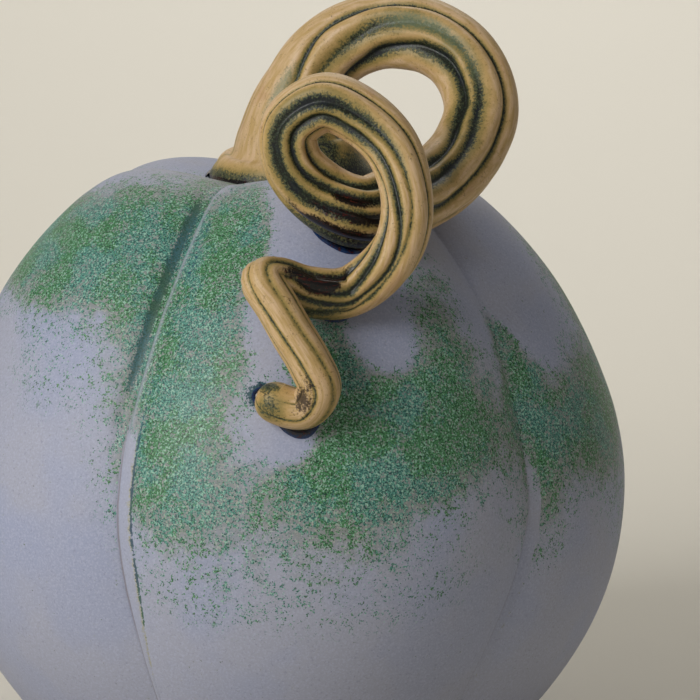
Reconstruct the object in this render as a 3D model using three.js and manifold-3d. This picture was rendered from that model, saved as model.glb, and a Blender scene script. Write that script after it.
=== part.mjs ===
// A hand-built stoneware squash: one hollow body pressed into five lobes, and one pulled, fluted
// clay stem that coils forward over it. Millimetres, +Z up, front of the piece towards -Y.
// The pot's own axis stands at AXIS, so that the frame's origin is under the middle of the whole.
import * as THREE from 'three';
import { mergeVertices } from 'three/addons/utils/BufferGeometryUtils.js';
import Module from 'manifold-3d';

const AXIS = [-1.3, 4.5];   // where the pot's axis stands, x and y
const WALL = 6;            // thickness of the thrown wall
const VENT_RADIUS = 4.5;   // hole that lets the air out in the kiln
const LEAN = 0.022;        // the left shoulder stands this much higher per millimetre
const CREASE_DEPTH = 7;    // how far the creases are pressed in
const BEAD = { offset: 1.8, width: 0.8, height: 0.9 };   // raised lip beside each crease
const CLEARANCE = 0.3;     // glaze line between the stem and the body

// Body section from the middle of the top to the edge of the flat base, radius and height.
const PROFILE = [
  [0, 161.6], [8, 161.9], [16, 162.9], [24, 164.7], [32, 166.5], [40, 167.3], [48.5, 165.5],
  [57, 160.6], [65, 153.7], [73, 145], [80.5, 134.8], [87, 123], [92.5, 110.4], [97, 97],
  [99.6, 82], [99.4, 67], [96.8, 52], [91.8, 38], [84.2, 24.5], [74.5, 11.5], [68.5, 5],
  [62, 1.2], [54, 0], [44, 0],
];
const WIDEST = 84;         // height of the widest ring

// Direction of each crease in degrees from the front, towards +X: at the top, middle and foot.
const CREASES = [[-25, -29, -21.5], [50, 47, 37], [121, 120, 122], [191, 190, 189], [259, 260, 258]];

// Stem route: x, y and height of the centre line, radius, and turn of the flutes in degrees.
const FOOT_TO_FOLD = [
  [4, 6, 158, 25.8, 0], [4, 6, 164.5, 25.3, 0], [4, 5.5, 168, 23, 0], [4, 5, 172, 19.6, 0],
  [3.5, 4.5, 176.5, 16, 0], [4, 4, 182.5, 13.3, 0], [6.5, 3, 189.5, 12, 0], [11, 1.5, 197, 11, -3],
  [18.5, 0, 203, 10.8, -7], [27, -2, 206, 10.7, -10], [35, -5, 206.5, 10.6, -14],
  [43.5, -8, 204.5, 10.5, -17], [51, -12, 199.5, 10.3, -20], [55.5, -17, 192, 10.2, -23],
  [56.5, -23, 183.5, 10.2, -27], [53, -30, 175, 10.2, -30], [47.5, -38, 169, 10.2, -35],
  [40, -46, 164.5, 10.1, -42], [30, -60, 162, 10, -49], [20, -67, 161, 9.8, -55],
  [10, -67.5, 166.5, 9, -65], [3, -70, 175.5, 8, -75], [3, -72, 184.5, 7.6, -80],
  [12, -74, 190.5, 7.6, -82], [22, -76, 186.5, 7.7, -83], [29.5, -79, 179, 7.2, -90],
  [33, -83, 168.5, 6.7, -112], [32.7, -85, 158, 6.8, -123], [28, -85, 148.5, 6.9, -150],
  [18, -82.5, 141.2, 6.9, -195], [7, -87, 141.5, 6.7, -215], [-1, -92, 145, 6.1, -225],
  [-4.7, -96.5, 145.3, 5.7, -232],
];
const TAIL = [
  [-4.7, -96.5, 145.3, 5.7, -60], [-1, -99, 139, 5.7, -64], [3, -100, 132, 5.7, -68],
  [7.4, -100.5, 124.5, 5.7, -74], [10, -100.5, 117.5, 5.8, -80],
];
const CURL = [
  [10, -100.5, 117.5, 5.8, -20], [6, -97.5, 112, 5.6, -26], [-0.3, -96.6, 112.9, 5.5, -32],
  [-5.8, -94.8, 116.3, 5.4, -38],
];
// Flutes: direction round the stem in degrees, depth as a share of the radius, width in degrees.
const FLUTES = [
  [-90, 0.1, 12], [-28, 0.11, 10], [22, 0.1, 16], [76, 0.15, 13],
  [128, 0.12, 12], [180, 0.12, 11], [228, 0.09, 14],
];

const rad = (degrees) => degrees * Math.PI / 180;
function smooth(from, to, x) {
  const t = Math.min(1, Math.max(0, (x - from) / (to - from)));
  return t * t * (3 - 2 * t);
}

// ---- body ----

// Point and outward normal of the section at t from 0 at the top to 1 at the base.
function section(t) {
  const last = PROFILE.length - 1;
  const i = Math.min(last - 1, Math.floor(t * last));
  const f = t * last - i;
  const before = i === 0 ? [-PROFILE[1][0], PROFILE[1][1]] : PROFILE[i - 1];
  const after = PROFILE[Math.min(last, i + 2)];
  const value = [0, 1].map((k) => {
    const [a, b, c, d] = [before[k], PROFILE[i][k], PROFILE[i + 1][k], after[k]];
    return 0.5 * (2 * b + (c - a) * f + (2 * a - 5 * b + 4 * c - d) * f * f + (3 * b - a - 3 * c + d) * f ** 3);
  });
  const slope = [0, 1].map((k) => {
    const [a, b, c, d] = [before[k], PROFILE[i][k], PROFILE[i + 1][k], after[k]];
    return 0.5 * ((c - a) + 2 * (2 * a - 5 * b + 4 * c - d) * f + 3 * (3 * b - a - 3 * c + d) * f * f);
  });
  const length = Math.hypot(...slope);
  return { r: value[0], z: value[1], nr: -slope[1] / length, nz: slope[0] / length };
}

function creaseAt(k, z) {
  const [top, middle, foot] = CREASES[k % 5];
  const turn = k === 5 ? 360 : 0;
  return turn + middle + (top - middle) * smooth(90, 165, z) + (foot - middle) * smooth(85, 15, z);
}

// Share of the crease depth at a place across one lobe: 1 in the crease, 0 on the lobe's back.
function dip(across) {
  const bow = Math.sqrt(Math.sin(Math.PI * across) ** 2 + 0.0025) - 0.05;
  return 1 - (bow / 0.95125) ** 0.72;
}

// A point of the body: column gives lobe and place, t the place on the section.
function bodyPoint(column, t, inset, withBead) {
  const { r, z, nr, nz } = section(t);
  const start = creaseAt(column.lobe, z);
  const width = creaseAt(column.lobe + 1, z) - start;
  const degrees = column.from === 'start' ? column.offset
    : column.from === 'end' ? width - column.offset
      : 13 + (width - 26) * column.offset;
  const low = z < WIDEST;
  const depth = CREASE_DEPTH * smooth(6, 70, r)
    * (low ? (0.35 + 0.65 * smooth(-5, 60, z)) * smooth(44, 62, r) : 1);
  let press = depth * dip(degrees / width);
  if (withBead) {
    const near = degrees > width / 2 ? degrees - width : degrees;
    const lip = Math.exp(-(((near - BEAD.offset) / BEAD.width) ** 2));
    press -= BEAD.height * lip * smooth(22, 50, r) * (low ? smooth(8, 40, z) : 1);
  }
  const radius = r - press * (low ? 1 : nr) - inset * nr;
  const height = Math.max(0, z) - press * (low ? 0 : nz) - inset * nz;
  const angle = rad(start + degrees);
  const x = radius * Math.sin(angle);
  return [
    AXIS[0] + x,
    AXIS[1] - radius * Math.cos(angle),
    height - LEAN * x * smooth(WIDEST, 160, height),
  ];
}

const COLUMNS = [];
for (let lobe = 0; lobe < 5; lobe++) {
  for (const offset of [0, 0.9, 1.8, 2.8, 4.6, 8]) COLUMNS.push({ lobe, from: 'start', offset });
  for (const offset of [0, 0.2, 0.4, 0.6, 0.8, 1]) COLUMNS.push({ lobe, from: 'inside', offset });
  for (const offset of [8, 4.6, 2]) COLUMNS.push({ lobe, from: 'end', offset });
}

// Rows of points, closed at both ends by one point, as one outward surface.
function skin(rows, first, last) {
  const n = rows[0].length;
  const points = [first, ...rows.flat(), last];
  const faces = [];
  const at = (row, j) => 1 + row * n + (j % n);
  for (let j = 0; j < n; j++) {
    faces.push(0, at(0, j), at(0, j + 1));
    faces.push(points.length - 1, at(rows.length - 1, j + 1), at(rows.length - 1, j));
    for (let i = 0; i < rows.length - 1; i++) {
      faces.push(at(i, j), at(i + 1, j), at(i + 1, j + 1));
      faces.push(at(i, j), at(i + 1, j + 1), at(i, j + 1));
    }
  }
  const geometry = new THREE.BufferGeometry();
  geometry.setAttribute('position', new THREE.Float32BufferAttribute(points.flat(), 3));
  geometry.setIndex(faces);
  return geometry;
}

const steps = (from, to, count) => Array.from({ length: count + 1 }, (_, i) => from + (to - from) * i / count);
const bodyRows = (places, inset, withBead) =>
  places.map((t) => COLUMNS.map((column) => bodyPoint(column, t, inset, withBead)));
const ventRing = (z) => COLUMNS.map((column) => {
  const [x, y] = bodyPoint(column, 1, 0, false);
  const angle = Math.atan2(y - AXIS[1], x - AXIS[0]);
  return [AXIS[0] + VENT_RADIUS * Math.cos(angle), AXIS[1] + VENT_RADIUS * Math.sin(angle), z];
});

const OUTER_PLACES = steps(0.04, 1, 30);
const INNER_PLACES = steps(1, 0.05, 13);
const top = section(0).z;
const bodyGeometry = skin(
  [...bodyRows(OUTER_PLACES, 0, true), ventRing(0), ventRing(WALL), ...bodyRows(INNER_PLACES, WALL, false)],
  [AXIS[0], AXIS[1], top],
  [AXIS[0], AXIS[1], top - WALL],
);

// ---- stem ----

// A route made longer at one end by the stem's radius, so that two lengths meet in a full elbow.
function pastEnd(route) {
  const [before, end] = route.slice(-2);
  const step = [0, 1, 2].map((k) => end[k] - before[k]);
  const share = end[3] / Math.hypot(...step);
  return [...route, [...step.map((d, k) => end[k] + d * share), end[3], end[4]]];
}
const pastStart = (route) => pastEnd([...route].reverse()).reverse();

function sweep(route, { roundStart, roundEnd, fadeFlutes }) {
  const line = new THREE.CatmullRomCurve3(
    route.map(([x, y, z]) => new THREE.Vector3(x + AXIS[0], y + AXIS[1], z)), false, 'centripetal');
  line.arcLengthDivisions = 2000;
  const length = line.getLength();
  const knots = route.map((_, i) => i / (route.length - 1));
  const valueAt = (u, k) => {
    const i = Math.min(route.length - 2, Math.floor(u * (route.length - 1)));
    const f = (u - knots[i]) * (route.length - 1);
    return route[i][k] + (route[i + 1][k] - route[i][k]) * f;
  };
  // Places along the stem: even steps, with close ones where an end is rounded.
  const startRadius = route[0][3];
  const endRadius = route[route.length - 1][3];
  const distances = [];
  const round = [0.02, 0.12, 0.3, 0.55, 0.8];
  if (roundStart) for (const s of round) distances.push(s * startRadius);
  const from = roundStart ? startRadius : 0;
  const to = roundEnd ? length - endRadius : length;
  const count = Math.round((to - from) / 4);
  for (let i = 0; i <= count; i++) distances.push(from + (to - from) * i / count);
  if (roundEnd) for (const s of [...round].reverse()) distances.push(length - s * endRadius);

  let side = new THREE.Vector3(0, -1, 0);
  const rows = distances.map((s) => {
    const u = line.getUtoTmapping(0, s);
    const centre = line.getPoint(u);
    const along = line.getTangent(u);
    side = side.clone().addScaledVector(along, -side.dot(along)).normalize();
    const across = new THREE.Vector3().crossVectors(along, side);
    const cap = (d, r) => Math.sqrt(Math.max(0, 1 - (1 - Math.min(1, d / r)) ** 2));
    const radius = valueAt(u, 3) * (roundStart ? cap(s, startRadius) : 1) * (roundEnd ? cap(length - s, endRadius) : 1);
    const strength = fadeFlutes(s, length);
    const turn = rad(valueAt(u, 4));
    return FLUTES.flatMap(([at, depth, width], k) => {
      const next = k + 1 < FLUTES.length ? FLUTES[k + 1] : [FLUTES[0][0] + 360, 0, FLUTES[0][2]];
      const angles = [at, at + width, (at + width + next[0] - next[2]) / 2, next[0] - next[2]];
      return angles.map((a, m) => {
        const cut = m === 0 ? depth : m === 2 ? -0.02 : 0.02;
        const angle = rad(a) + turn;
        const r = radius * (1 - cut * strength);
        return centre.clone()
          .addScaledVector(side, r * Math.cos(angle))
          .addScaledVector(across, r * Math.sin(angle)).toArray();
      });
    });
  });
  const first = line.getPoint(0).toArray();
  const last = line.getPoint(1).toArray();
  return skin(rows.reverse(), last, first);
}

const wasm = await Module();
wasm.setup();

function solidOf(geometry) {
  const merged = mergeVertices(geometry, 1e-4);
  return new wasm.Manifold(new wasm.Mesh({
    numProp: 3,
    vertProperties: new Float32Array(merged.attributes.position.array),
    triVerts: new Uint32Array(merged.index.array),
  }));
}

function geometryOf(solid) {
  const { vertProperties, triVerts } = solid.getMesh();
  const geometry = new THREE.BufferGeometry();
  geometry.setAttribute('position', new THREE.BufferAttribute(new Float32Array(vertProperties), 3));
  geometry.setIndex(new THREE.BufferAttribute(new Uint32Array(triVerts), 1));
  return geometry;
}

const riser = solidOf(sweep(pastEnd(FOOT_TO_FOLD), {
  roundStart: false,
  roundEnd: true,
  fadeFlutes: (s, length) => smooth(8, 30, s) * (1 - 0.6 * smooth(length - 30, length, s)),
}));
const tail = solidOf(sweep(pastStart(pastEnd(TAIL)), { roundStart: true, roundEnd: true, fadeFlutes: () => 0.5 }));
const curl = solidOf(sweep(pastStart(CURL), { roundStart: true, roundEnd: true, fadeFlutes: () => 0.3 }));
const bodyAndGlaze = solidOf(skin(
  bodyRows(OUTER_PLACES, -CLEARANCE, true),
  [AXIS[0], AXIS[1], top + CLEARANCE],
  [AXIS[0], AXIS[1], -CLEARANCE],
));
const stemGeometry = geometryOf(riser.add(tail).add(curl).subtract(bodyAndGlaze));

// ---- the two pieces ----

function piece(name, geometry, colour, roughness) {
  geometry.computeVertexNormals();
  const material = new THREE.MeshStandardMaterial({ color: colour, roughness, metalness: 0 });
  material.name = `${name}_glaze`;
  const mesh = new THREE.Mesh(geometry, material);
  mesh.name = name;
  return mesh;
}

const group = new THREE.Group();
group.add(piece('squash_body', bodyGeometry, 0x8f8ea3, 0.6));
group.add(piece('coiled_stem', stemGeometry, 0xa98550, 0.4));

export default group;
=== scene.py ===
"""A glazed stoneware squash: a hollow, five-lobed body in matte lavender glaze with a green crystal
speckle on its shoulders, and a pulled clay stem, fluted and twisted, that coils forward over it.

The shapes are worked out in millimetres and scaled to metres when a mesh is made. The heights in
the materials, the stage and the properties are in metres.
"""
import math
from types import SimpleNamespace

import bpy
import numpy as np
from bpy.props import FloatProperty, IntProperty, PointerProperty, StringProperty
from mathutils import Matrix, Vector
from mathutils.bvhtree import BVHTree


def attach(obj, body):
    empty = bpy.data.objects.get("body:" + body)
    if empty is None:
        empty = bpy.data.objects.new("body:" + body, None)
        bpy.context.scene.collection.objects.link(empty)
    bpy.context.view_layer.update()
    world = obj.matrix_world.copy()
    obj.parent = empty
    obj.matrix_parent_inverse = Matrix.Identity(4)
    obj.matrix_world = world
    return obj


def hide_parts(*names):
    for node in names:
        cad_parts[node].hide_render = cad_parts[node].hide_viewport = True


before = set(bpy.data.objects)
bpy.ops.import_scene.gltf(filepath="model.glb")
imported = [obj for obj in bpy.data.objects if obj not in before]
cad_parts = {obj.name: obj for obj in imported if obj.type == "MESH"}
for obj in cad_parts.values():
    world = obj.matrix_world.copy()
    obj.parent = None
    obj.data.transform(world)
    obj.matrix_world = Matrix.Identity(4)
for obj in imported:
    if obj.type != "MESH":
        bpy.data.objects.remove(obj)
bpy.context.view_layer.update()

bl_info = {
    "name": "Glazed squash with a coiled stem",
    "version": (1, 0, 0),
    "blender": (4, 5, 0),
    "location": "View3D > Sidebar > Squash",
    "description": "Throws and glazes a lobed stoneware squash and its pulled stem",
    "category": "Add Mesh",
}

MM = 0.001
AXIS = np.array([-1.3, 4.5, 0])     # foot of the pot's axis, mm
LOBES = 5
WALL = 6.0                          # thickness of the clay, mm
VENT_RADIUS = 4.5                   # of the hole through the base, mm
CREASE_DEPTH = 7.0                  # of the five creases at their deepest, mm
WIDEST = 84.0                       # height of the widest ring, mm
LEAN = 0.022                        # slope of its top, down towards +X
BUNCHED = 0.84                      # how closely the columns of points gather at the creases
SKIN_RELIEF = 0.0003                # depth of the glazes' relief, m
STREAK = (6.0, 1.2)                 # length and width of a unit of streaks in the stem's glaze, mm
STEM_GIRTH = 60.0                   # the way round the stem, about, mm

# Body section from the middle of the top to the edge of the flat base, radius and height, mm.
PROFILE = np.array([
    (0, 161.6), (8, 161.9), (16, 162.9), (24, 164.7), (32, 166.5), (40, 167.3), (48.5, 165.5),
    (57, 160.6), (65, 153.7), (73, 145), (80.5, 134.8), (87, 123), (92.5, 110.4), (97, 97),
    (99.6, 82), (99.4, 67), (96.8, 52), (91.8, 38), (84.2, 24.5), (74.5, 11.5), (68.5, 5),
    (62, 1.2), (54, 0), (44, 0)], float)

# Direction of each crease in degrees from the front, towards +X: at the top, middle and foot.
CREASES = [(-25, -28.3, -24), (50, 47, 37), (121, 120, 122), (191, 190, 189), (259, 260, 258)]

# How sharply the band beside each crease was pressed, 0 to 1, on the upper and the lower body.
LIPS = [(1, 1), (0.12, 0.3), (0.8, 0.8), (0.9, 0.9), (0.7, 0.7)]

# Stem route: x, y and height of the centre line, radius, all mm, and turn of the flutes, degrees.
STEM = np.array([
    (4, 6, 158, 25.8, 0), (4, 6, 164.5, 25.3, 0), (4, 5.5, 168, 23, 0), (4, 5, 172, 19.6, 0),
    (3.5, 4.5, 176.5, 16, 0), (4, 4, 182.5, 13.3, 0), (6.5, 3, 189.5, 12, 0),
    (11, 1.5, 197, 11, -3), (18.5, 0, 203, 10.8, -7), (27, -2, 206, 10.7, -10),
    (35, -5, 206.5, 10.6, -14), (43.5, -8, 204.5, 10.5, -17), (51, -12, 199.5, 10.3, -20),
    (55.5, -17, 192, 10.2, -23), (56.5, -23, 183.5, 10.2, -27), (53, -30, 175, 10.2, -30),
    (47.5, -38, 169, 10.2, -35), (40, -46, 164.5, 10.1, -42), (30, -60, 162, 10, -49),
    (20, -67, 161, 9.8, -55), (10, -67.5, 166.5, 9, -65), (3, -70, 175.5, 8, -75),
    (3, -72, 184.5, 7.6, -80), (12, -74, 190.5, 7.6, -82), (22, -76, 186.5, 7.7, -83),
    (29.5, -79, 179, 7.2, -90), (33, -83, 168.5, 6.7, -112), (32.7, -85, 158, 6.8, -123),
    (28, -85, 148.5, 6.9, -150), (18, -82.5, 141.2, 6.9, -195), (7, -87, 141.5, 6.7, -215),
    (-1, -92, 145, 6.1, -225), (-4.7, -96.5, 145.3, 5.7, -232), (-1, -99, 139, 5.7, -238),
    (3, -100, 132, 5.7, -242), (7.4, -100.5, 124.5, 5.7, -246), (10, -100.5, 117.5, 5.8, -250),
    (6, -97.5, 112, 5.6, -254), (-0.3, -96.6, 112.9, 5.5, -258),
    (-5.8, -94.8, 116.3, 5.4, -262)], float)

# Each flute from the stem's foot to its tip: distance along the stem in mm, direction round it
# and half width in degrees, depth as a share of the radius, how much dark glaze ran into it, and
# how far that spread, in degrees.
FLUTES = [
    [(22, 350, 5, 0.05, 0.6, 6), (38, 342, 7, 0.13, 1.1, 6), (49, 316, 8, 0.15, 1.15, 7),
     (70, 304, 7, 0.13, 0.8, 6), (104, 291, 8, 0.13, 0.85, 7), (126, 285, 9, 0.15, 0.9, 8),
     (150, 276, 11, 0.14, 1.0, 10), (175, 292, 14, 0.15, 1.0, 20), (202, 275, 14, 0.14, 1.1, 27),
     (221, 284, 15, 0.15, 1.1, 28), (238, 288, 13, 0.13, 0.8, 24), (256, 291, 9, 0.07, 0.35, 8),
     (275, 322, 11, 0.08, 0.55, 13), (290, 340, 9, 0.10, 0.6, 9), (318, 350, 9, 0.07, 0.45, 10)],
    [(22, 20, 10, 0.06, 0.2, 14), (38, 10, 16, 0.11, 0.35, 18), (52, 4, 20, 0.14, 0.68, 34),
     (70, 338, 21, 0.13, 0.64, 34), (90, 334, 19, 0.10, 0.5, 30), (111, 340, 15, 0.11, 0.8, 22),
     (130, 327, 14, 0.13, 0.85, 22), (149, 321, 12, 0.14, 0.95, 22), (175, 324, 11, 0.17, 1.05, 15),
     (202, 312, 10, 0.18, 1.1, 15), (222, 319, 11, 0.18, 1.1, 16), (256, 327, 10, 0.16, 1.0, 15),
     (270, 323, 10, 0.15, 1.0, 12), (285, 352, 12, 0.16, 1.0, 14), (300, 20, 12, 0.12, 1.0, 14),
     (318, 50, 9, 0.08, 0.45, 10)],
    [(22, 75, 9, 0.05, 0.4, 8), (50, 50, 13, 0.18, 1.0, 12), (70, 23, 14, 0.22, 1.15, 21),
     (90, 6, 13, 0.22, 1.15, 20), (118, 8, 12, 0.22, 1.15, 18), (136, 352, 12, 0.20, 1.1, 14),
     (175, 352, 10, 0.18, 1.1, 14), (202, 345, 9, 0.14, 0.8, 9), (223, 357, 9, 0.12, 0.8, 8),
     (256, 358, 7, 0.12, 0.9, 6), (269, 13, 11, 0.17, 1.1, 13), (282, 16, 13, 0.18, 1.1, 17),
     (300, 50, 12, 0.14, 1.0, 20), (318, 88, 9, 0.08, 0.55, 11), (342, 92, 8, 0.05, 0.4, 10)],
    [(22, 115, 9, 0.05, 0.4, 8), (50, 105, 12, 0.14, 0.8, 13), (110, 84, 12, 0.15, 0.7, 13),
     (150, 66, 12, 0.15, 0.8, 13), (175, 40, 12, 0.16, 1.0, 14), (223, 40, 10, 0.14, 0.9, 12),
     (256, 45, 9, 0.12, 0.9, 10), (285, 62, 11, 0.14, 1.1, 16), (300, 92, 12, 0.14, 1.1, 20),
     (318, 136, 10, 0.05, 0.4, 18), (342, 132, 10, 0.04, 0.35, 18)],
    [(22, 165, 9, 0.05, 0.3, 7), (50, 150, 12, 0.13, 0.8, 12), (110, 135, 12, 0.15, 0.9, 14),
     (223, 100, 12, 0.15, 0.9, 13), (285, 110, 12, 0.14, 0.9, 12), (318, 190, 6, 0.09, 0.66, 8),
     (342, 184, 6, 0.08, 0.6, 9)],
    [(22, 215, 9, 0.05, 0.3, 7), (50, 192, 11, 0.12, 0.8, 11), (110, 170, 12, 0.15, 0.9, 13),
     (223, 168, 12, 0.15, 0.9, 13), (285, 180, 11, 0.13, 0.8, 10), (318, 235, 8, 0.08, 0.5, 6),
     (342, 230, 8, 0.05, 0.4, 6)],
    [(22, 275, 9, 0.05, 0.35, 8), (50, 250, 11, 0.12, 0.8, 10), (110, 228, 12, 0.14, 0.85, 12),
     (175, 236, 11, 0.14, 0.8, 11), (202, 232, 7, 0.10, 0.8, 5), (221, 238, 6, 0.12, 0.95, 5),
     (256, 240, 8, 0.10, 0.7, 7), (285, 262, 10, 0.10, 0.7, 8), (318, 292, 8, 0.07, 0.5, 6)],
]

# Glassy black-red glaze on the stem: distance along it in mm, direction, half length, half width
# in degrees, and strength. Those near 176 mm, on the limb seen through the front loop, are
# partly painted shade.
STEM_POOLS_AND_SHADE = [
    (298, 64, 9, 32, 1.0), (287, 66, 8, 18, 0.6), (306, 84, 7, 24, 0.7), (176, 318, 8, 14, 0.85),
    (170, 290, 9, 14, 0.9), (182, 282, 7, 12, 0.6), (176, 252, 15, 20, 1.0),
    (176, 226, 12, 12, 0.45)]
# Places where the dark glaze covered the ridges as well, given in the same way. The one at
# 176 mm, on the limb seen through the front loop, is partly painted shade.
STEM_DARK_AND_SHADE = [
    (16, 30, 9, 22, 0.8), (10, 48, 6, 40, 0.9), (22, 52, 7, 10, 0.75), (297, 345, 12, 26, 0.8),
    (296, 318, 10, 18, 0.72), (176, 222, 18, 22, 0.82), (366, 262, 6, 40, 0.78),
    (362, 200, 4, 60, 0.68)]
# Brown smudges of iron near its tip, and olive washes near its foot, given in the same way.
STEM_SMUDGES = [
    (349, 218, 7, 34, 1.0), (343, 196, 4, 20, 0.6), (365, 225, 3, 18, 0.35), (322, 120, 3, 16, 0.3)]
STEM_OLIVE = [(30, 330, 12, 16, 0.7), (78, 336, 16, 20, 0.7), (96, 338, 10, 14, 0.56)]

# Where glass ran off the stem onto the body: x, y and height from the pot's axis, how far round it
# that happened, and how far out from the stem the glass reached, all mm.
POOLS = np.array([
    (4, 6, 164, 34, 1.5), (8.4, -61.8, 156, 15, 2.6), (14, -66, 151, 13, 2.4),
    (13, -80.9, 132.3, 15, 2.0), (7, -93, 105, 9, 3.4), (-2, -92, 108, 8, 1.6),
    (-8, -90.3, 111, 7, 1.0)])

# Where the green crystals lie: azimuth and half width in degrees, height and half height in mm,
# and strength, below zero where the lavender stays clear.
CRYSTALS = [
    (-45, 154.6, 24, 11, 1.0), (-52, 141, 22, 10, 0.75), (-31, 146, 8, 16, 0.9),
    (-41, 120, 16, 15, 0.12), (-11, 154, 11, 12, 1.0), (-18, 130, 12, 18, 1.1),
    (-20, 107, 10, 16, 1.1), (-17, 88, 11, 13, 0.7), (-13, 68, 13, 14, 0.18),
    (11, 98, 13, 13, 1.0), (27, 104, 15, 16, 1.1), (28, 124, 10, 10, 0.8), (33, 139, 7, 8, 0.4),
    (8, 85, 15, 12, 0.5), (11, 66, 21, 14, 0.17), (7, 125, 6, 13, 0.95), (13, 116, 7, 10, 0.8),
    (51, 108, 5, 18, 0.9), (56, 98, 12, 15, 0.6), (72, 101, 12, 20, 0.75), (49, 78, 7, 14, 0.4),
    (50, 130, 3.5, 12, 0.5), (86, 134, 10, 16, 0.5),
    (4, 154, 6, 12, -0.9), (-1, 132, 5, 8, -0.9), (1.5, 103, 4.5, 6, -1.2),
    (20, 125, 8, 8, -1.0), (57, 137, 9, 14, -0.9),
    (96, 112, 14, 20, 0.85), (112, 136, 9, 20, 0.9), (135, 140, 12, 18, 1.0),
    (150, 120, 13, 16, 0.8), (170, 136, 12, 14, 0.9), (182, 110, 8, 20, 0.9),
    (155, 92, 15, 13, 0.4), (198, 125, 9, 22, 0.95), (215, 147, 14, 12, 0.9),
    (236, 128, 12, 18, 0.75), (250, 141, 9, 18, 1.0), (222, 102, 13, 14, 0.35),
    (268, 135, 10, 20, 0.9), (285, 149, 13, 12, 0.9), (276, 108, 12, 14, 0.5),
    (84, 70, 14, 12, 0.2), (205, 84, 12, 14, 0.3), (255, 88, 12, 14, 0.3),
]

# Patches of dark blue specks on the bare lavender beside the stem, given in the same way.
BLUE_SPECKS = [(-1, 126, 3.5, 4.0, 0.36), (20, 128, 5, 4, 0.24), (3, 98, 6, 4, 0.2)]

# Noises in the glazes: size of their features in mm, detail, roughness and distortion.
BODY_GRAINS = {
    "broad": (14, 3, 0.5, 0), "grain": (0.3, 2, 0.6, 0), "pits": (0.45, 3, 0.7, 0),
    "clump": (2.6, 4, 0.6, 0), "fleck": (0.27, 2, 0.55, 0.2), "cluster": (0.75, 2.5, 0.6, 0.4),
    "tone": (0.2, 2, 0.6, 0), "speckle": (0.35, 2, 0.6, 0), "drift": (7, 3, 0.5, 0),
    "waver": (5, 2, 0.5, 0), "ragged": (1.5, 2, 0.5, 0), "swell": (2.2, 2, 0.5, 0)}
STEM_GRAINS = {
    "grain": (0.22, 2, 0.6, 0), "speck": (0.33, 3, 0.65, 0), "mottle": (1.6, 3, 0.6, 0),
    "drift": (5, 3, 0.55, 0)}

# The board's section from front to back, y and height, and the wide curve between its floor and
# its wall: where it starts and its radius. All in metres.
BOARD_FLOOR = [(-4.0, 0.0), (0.35, 0.0), (0.6, 0.0)]
BOARD_CURVE = (0.6, 0.9)
BOARD_TOP = 2.6
BOARD_HALF_WIDTH = 5.0

# Soft lights: name, place, what each is aimed at and width, all in metres, and how strong it is
# beside the key light's power.
LIGHTS = [("key", (-0.89, -0.93, 0.72), (0, 0, 0.1), 0.75, 0.98),
          ("fill", (1.0, -1.3, 0.5), (0, 0, 0.1), 1.2, 0.02),
          ("backdrop", (0.2, 0.92, 1.4), (0.1, 1.7, 0.0), 1.0, 0.87)]

# The photo's view: angle above level in degrees, distance in metres, and in pixels of the square
# picture its side, the focal length, and how far right of the widest ring's middle and above it
# the camera aims.
VIEW_TILT, VIEW_DISTANCE = 9.5, 1.0
PICTURE, FOCAL, AIM_RIGHT, AIM_UP = 700, 3430, 69, 102


def smooth(a, b, x):
    """A smooth step of x, 0 at a and 1 at b."""
    t = np.clip((x - a) / (b - a), 0, 1)
    return t * t * (3 - 2 * t)


def linear(hex_colour):
    """An sRGB hex value as the linear RGBA that Blender's sockets take."""
    value = hex_colour.lstrip("#")
    parts = [int(value[i:i + 2], 16) / 255 for i in (0, 2, 4)]
    return (*(c / 12.92 if c <= 0.04045 else ((c + 0.055) / 1.055) ** 2.4 for c in parts), 1.0)


def wrapped(degrees):
    """Degrees as a turn between -180 and 180."""
    return np.mod(degrees + 180, 360) - 180


def hump(x, place, half):
    """1 at place, falling to 0.37 at half either side."""
    return np.exp(-((x - place) / half) ** 2)


# Body shape

def section(t):
    """Radius, height and outward normal of the section at t, 0 at the top and 1 at the base."""
    last = len(PROFILE) - 1
    i = np.clip(np.floor(t * last).astype(int), 0, last - 1)
    f = (t * last - i)[:, None]
    padded = np.vstack([[-PROFILE[1][0], PROFILE[1][1]], PROFILE, PROFILE[-1]])
    a, b, c, d = padded[i], padded[i + 1], padded[i + 2], padded[i + 3]
    value = 0.5 * (2 * b + (c - a) * f + (2 * a - 5 * b + 4 * c - d) * f ** 2
                   + (3 * b - a - 3 * c + d) * f ** 3)
    slope = 0.5 * ((c - a) + 2 * (2 * a - 5 * b + 4 * c - d) * f
                   + 3 * (3 * b - a - 3 * c + d) * f ** 2)
    slope /= np.linalg.norm(slope, axis=1)[:, None]
    return value[:, 0], value[:, 1], -slope[:, 1], slope[:, 0]


def crease_at(k, z):
    """Direction of crease k at each height, in degrees. The first comes again after the last."""
    top, middle, foot = CREASES[k % LOBES]
    return ((360 if k == LOBES else 0) + middle + (top - middle) * smooth(90, 165, z)
            + (foot - middle) * smooth(85, 15, z))


def dip(across):
    """How deep the body dips at each place across a lobe, 1 in the creases and 0 between them."""
    bow = np.sqrt(np.sin(np.pi * across) ** 2 + 0.0025) - 0.05
    return 1 - (bow / 0.95125) ** 0.72


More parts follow.
